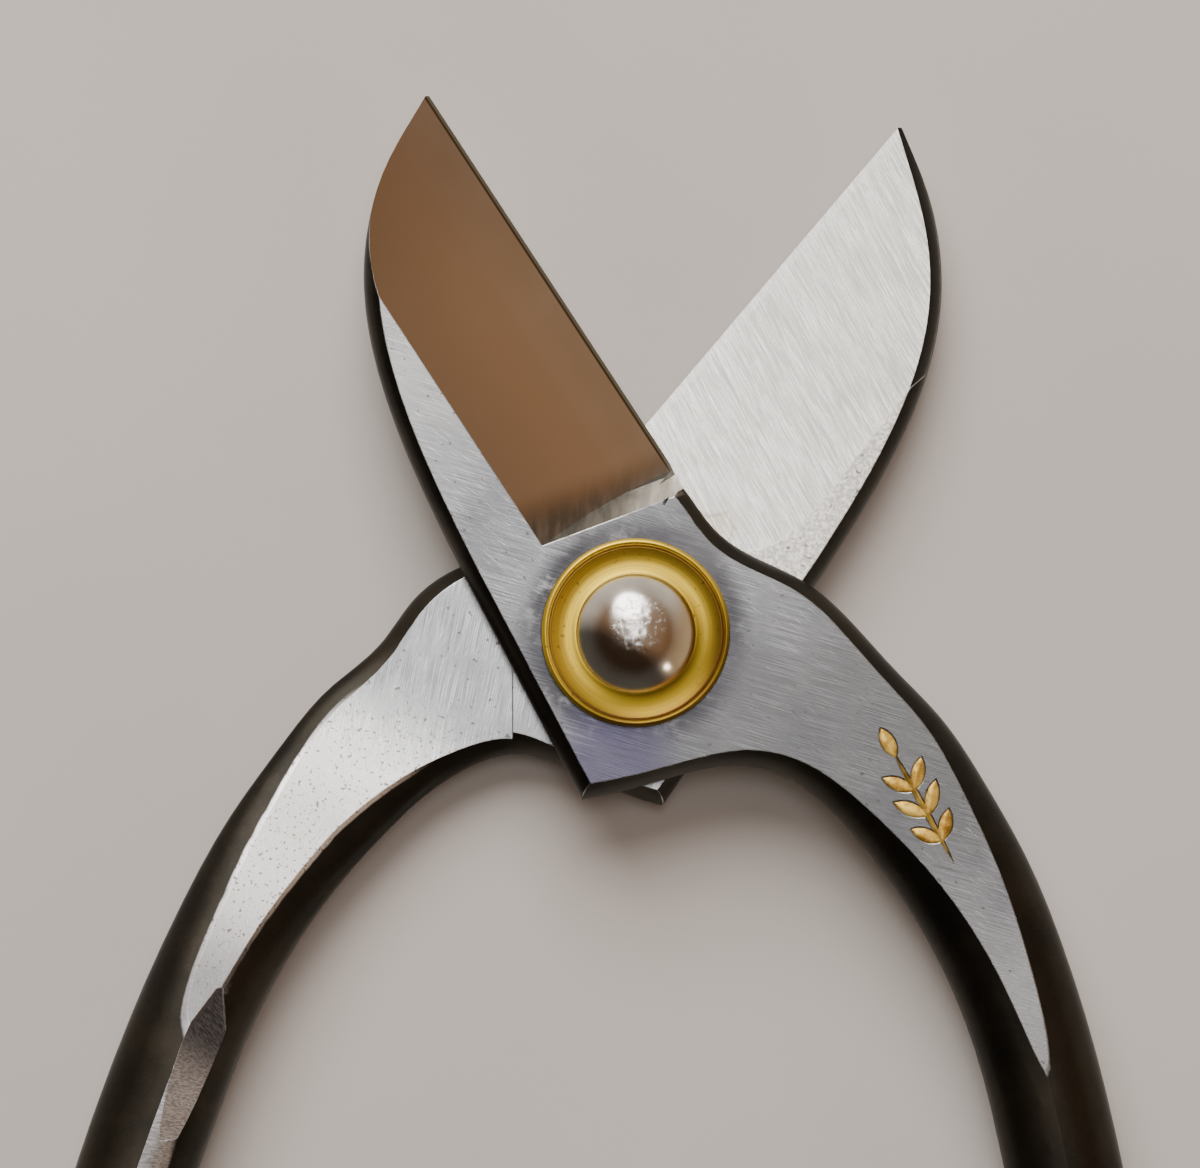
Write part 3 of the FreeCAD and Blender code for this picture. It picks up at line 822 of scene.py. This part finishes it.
# %% Places of the leaves on the closed arm, in millimetres
STEM_LENGTH = 13.5
STEM_FOOT = Vector((22.6, -34.0))
STEM_LEAN = 8.0
LEAF_SPREAD = 40.0
ENGRAVE_DEPTH = 0.25
PAINT_DEPTH = 0.13
stem_way = Matrix.Rotation(math.radians(STEM_LEAN), 2) @ Vector((0, 1))
leaves = [(STEM_FOOT, STEM_LEAN, STEM_LENGTH, 0.7)]
for step, size in ((2.6, 3.6), (5.6, 4.0), (8.6, 3.7)):
    for side in (-LEAF_SPREAD, LEAF_SPREAD):
        leaves.append((STEM_FOOT + stem_way * step, STEM_LEAN + side, size, 1.5))
leaves.append((STEM_FOOT + stem_way * (STEM_LENGTH - 1.0), STEM_LEAN, 3.6, 1.6))


# %% Paint one leaf
def paint_leaf(work, foot, angle, length, width):
    """A thin pointed lens from the origin along +Y, then put in its place on the opened arm."""
    sag = width / 2
    bow = (length ** 2 / 4 + sag ** 2) / (2 * sag)
    sweep = 2 * math.asin(length / 2 / bow)
    before = set(work.verts)
    for way in (-1, 1):
        corner = work.verts.new((0, 0, 0))
        centre = Vector((way * (bow - sag), length / 2, 0))
        bmesh.ops.spin(
            work, geom=[corner], cent=centre, axis=(0, 0, 1), angle=-way * sweep, steps=10,
            use_merge=False, use_duplicate=False,
        )
    outline = [vertex for vertex in work.verts if vertex not in before]
    bmesh.ops.remove_doubles(work, verts=outline, dist=0.01)
    outline = [vertex for vertex in work.verts if vertex not in before]
    edges = list({edge for vertex in outline for edge in vertex.link_edges})
    face = bmesh.ops.contextual_create(work, geom=edges)["faces"]
    if face[0].normal.z < 0:
        bmesh.ops.reverse_faces(work, faces=face)
    raised = bmesh.ops.extrude_face_region(work, geom=face)["geom"]
    top = [item for item in raised if isinstance(item, bmesh.types.BMFace)]
    lifted = [item for item in raised if isinstance(item, bmesh.types.BMVert)]
    bmesh.ops.translate(work, verts=lifted, vec=(0, 0, PAINT_DEPTH * 0.5))
    inner = min(0.2, width * 0.2)
    bmesh.ops.inset_region(work, faces=top, thickness=inner, depth=PAINT_DEPTH * 0.5)
    shape = [vertex for vertex in work.verts if vertex not in before]
    place = Matrix.Translation((foot.x, foot.y, 0)) @ Matrix.Rotation(math.radians(angle), 4, "Z")
    bmesh.ops.transform(work, matrix=place, verts=shape)


# %% Paint the sprig
sprig = bmesh.new()
for foot, angle, length, width in leaves:
    paint_leaf(sprig, foot, angle, length - 0.12, width - 0.12)
bmesh.ops.recalc_face_normals(sprig, faces=sprig.faces)
floor_level = front_flat / MM - ENGRAVE_DEPTH
home = Matrix.Rotation(half_open, 4, "Z") @ Matrix.Scale(MM, 4) @ Matrix.Translation((0, 0, floor_level))
bmesh.ops.transform(sprig, matrix=home, verts=sprig.verts)
gold_sprig = finished(sprig, "gold_sprig")
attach(gold_sprig, "front_half")


# %% Gold paint
def gold_finish(name):
    finish = Finish(name)
    finish.set("Metallic", 0.85)
    brush = finish.noise(finish.place, 900.0, detail=4.0, roughness=0.6)
    colour = finish.mix(finish.fade(brush, 0.35, 0.62), (0.42, 0.22, 0.03), (0.90, 0.62, 0.14))
    finish.set("Base Color", colour)
    finish.set("Roughness", finish.mix_value(brush, 0.30, 0.50))
    finish.bump(brush, 0.05 * MM, 0.7)
    return finish


gold_finish("gold_paint").wear(gold_sprig)
print("sprig painted:", len(leaves), "strokes")

# %% [markdown]
# ## The sheet under the snips
#
# A pale, warm grey sheet, wide enough that its end is never seen. It is no part of the tool. A very faint
# weave and broad soft clouds keep it from looking like nothing at all.

# %% Sheet
sheet_work = bmesh.new()
bmesh.ops.create_grid(sheet_work, x_segments=1, y_segments=1, size=3.0)
sheet = finished(sheet_work, "sheet")
cloth = Finish("pale_sheet")
cloth.set("Metallic", 0.0)
cloth.set("Roughness", 0.85)
cloud = cloth.noise(cloth.place, 14.0, detail=4.0)
weave = cloth.noise(cloth.stretch(cloth.place, 300.0, 2600.0, 1.0), 1.0, detail=1.0)
pale = cloth.mix(cloth.fade(cloud, 0.3, 0.7), (0.63, 0.59, 0.557), (0.67, 0.63, 0.597))
cloth.set("Base Color", cloth.mix(cloth.times(weave, 0.10), pale, (0.56, 0.525, 0.492)))
cloth.wear(sheet)

# %% [markdown]
# ## Light
#
# A polished dome is a small picture of the room. A small softbox overhead lights the flats. A broad one
# beyond the tips makes the patch on the dome and the soft shadow, and a tiny one the glint at its brim.
# Round them the room is brown and dim, and near the horizon pale again: the hollow of the blade looks
# into the brown part, and the dome's brim into the pale one. The handles' side of the room is dark.


# %% Room
DARK_SIDE_FROM = -0.50
DARK_SIDE_STRENGTH = 0.12
BRIGHT_BY_HEIGHT = [
    (0.00, (0.85, 0.78, 0.68)),
    (0.30, (0.60, 0.52, 0.43)),
    (0.52, (0.24, 0.135, 0.070)),
    (0.82, (0.30, 0.165, 0.085)),
    (0.960, (0.30, 0.18, 0.10)),
    (0.995, (0.60, 0.58, 0.56)),
]


def room_light():
    world = bpy.data.worlds.new("room")
    bpy.context.scene.world = world
    world.use_nodes = True
    tree = world.node_tree
    background = tree.nodes["Background"]
    coordinate = tree.nodes.new("ShaderNodeTexCoord")
    split = tree.nodes.new("ShaderNodeSeparateXYZ")
    ramp = tree.nodes.new("ShaderNodeValToRGB")
    tree.links.new(coordinate.outputs["Generated"], split.inputs[0])
    tree.links.new(split.outputs["Z"], ramp.inputs[0])
    tree.links.new(ramp.outputs["Color"], background.inputs["Color"])
    lengthwise = tree.nodes.new("ShaderNodeMath")
    lengthwise.operation = "MULTIPLY_ADD"
    tree.links.new(split.outputs["X"], lengthwise.inputs[0])
    lengthwise.inputs[1].default_value = 0.5
    tree.links.new(split.outputs["Y"], lengthwise.inputs[2])
    shade = tree.nodes.new("ShaderNodeMapRange")
    shade.inputs["From Min"].default_value = DARK_SIDE_FROM
    shade.inputs["From Max"].default_value = 0.0
    shade.inputs["To Min"].default_value = DARK_SIDE_STRENGTH
    tree.links.new(lengthwise.outputs[0], shade.inputs["Value"])
    tree.links.new(shade.outputs["Result"], background.inputs["Strength"])
    elements = ramp.color_ramp.elements
    for element, (position, colour) in zip(elements, (BRIGHT_BY_HEIGHT[0], BRIGHT_BY_HEIGHT[-1])):
        element.position = position
        element.color = opaque(colour)
    for position, colour in BRIGHT_BY_HEIGHT[1:-1]:
        elements.new(position).color = opaque(colour)


def softbox(name, spot, size, power, colour):
    data = bpy.data.lights.new(name, "AREA")
    data.shape = "DISK"
    data.size = size
    data.energy = power
    data.color = colour
    light = bpy.data.objects.new(name, data)
    bpy.context.scene.collection.objects.link(light)
    aim = Vector(spot).to_track_quat("Z", "Y").to_matrix().to_4x4()
    light.matrix_world = Matrix.Translation(spot) @ aim


room_light()
softbox("overhead_softbox", (-0.03, 0.07, 1.1), 0.34, 1.5, (1.0, 0.995, 0.99))
softbox("key_softbox", (-0.22, 0.80, 0.85), 0.95, 17.8, (1.0, 0.98, 0.955))
softbox("fill_softbox", (0.90, -0.78, 0.34), 0.11, 0.6, (1.0, 0.98, 0.955))
print("room and softboxes lit")
